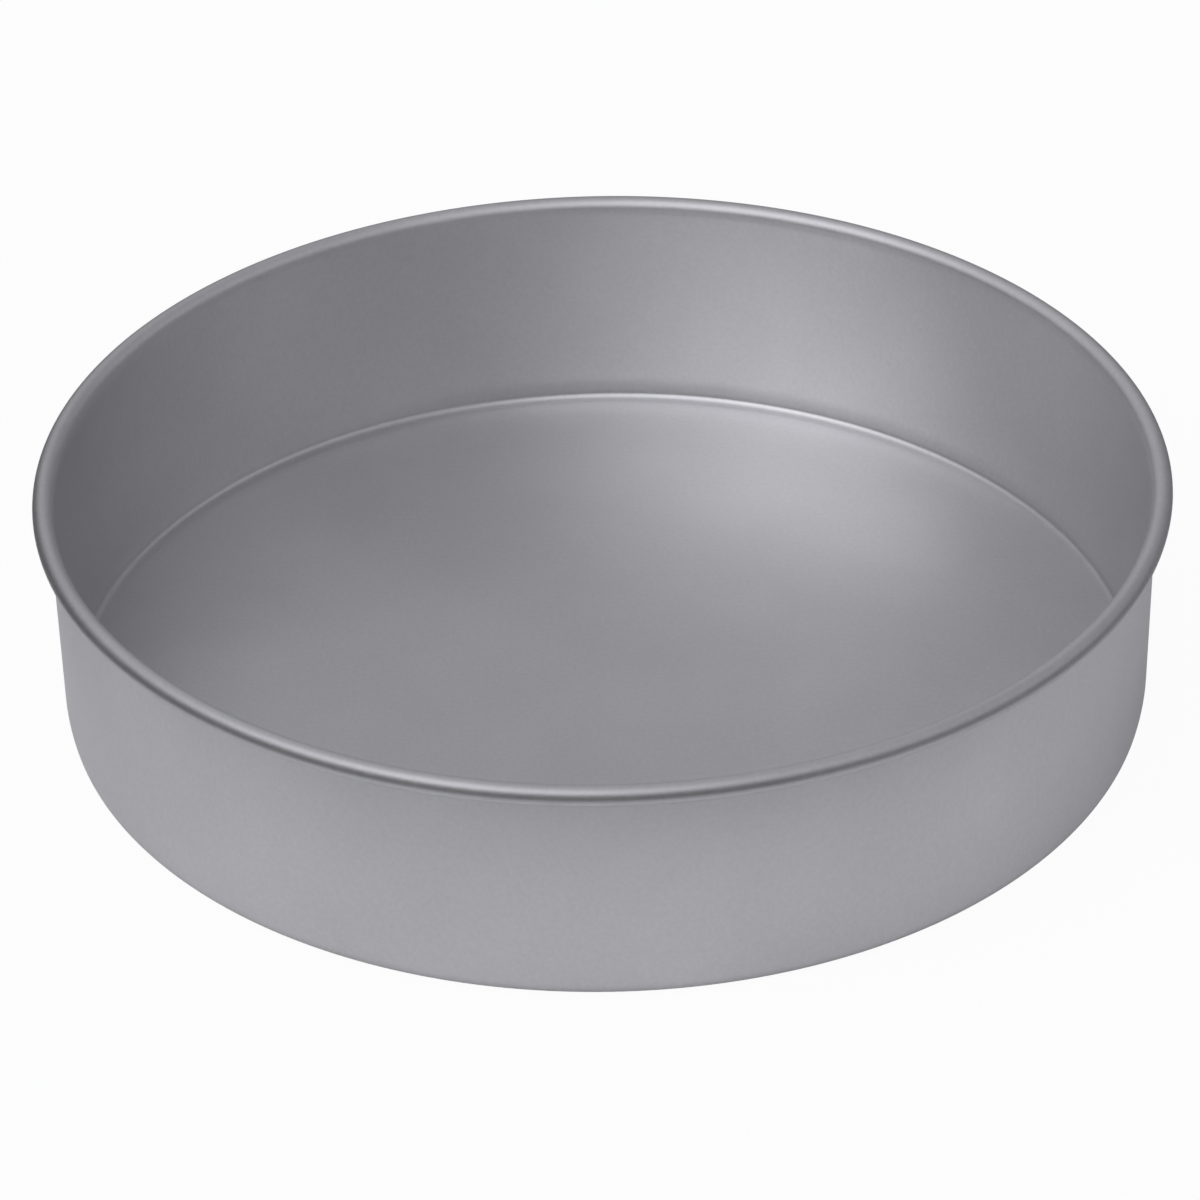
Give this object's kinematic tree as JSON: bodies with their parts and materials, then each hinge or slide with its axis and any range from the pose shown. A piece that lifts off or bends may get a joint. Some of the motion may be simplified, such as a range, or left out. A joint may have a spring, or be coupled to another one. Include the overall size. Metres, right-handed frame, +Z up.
{
  "type": "round cake pan",
  "caption": "Round straight-sided cake pan of anodised aluminium sheet with a flat floor, a tight inside corner and a rim rolled outward over a wire.",
  "frame": {"origin": "centre of the pan's underside, on the plane it stands on", "axes": "+Z up along the pan's axis, out of its mouth; the pan is round, so X and Y are any two level directions"},
  "size_m": [0.237, 0.237, 0.0518],
  "materials": {
    "anodised_sheet": "satin grey anodised, fine even grain",
    "drawn_wire": "plain drawn wire, hidden in the rolled rim"
  },
  "bodies": {
    "root": {"pan_body": "anodised_sheet", "rim_wire": "drawn_wire"}
  },
  "joints": []
}
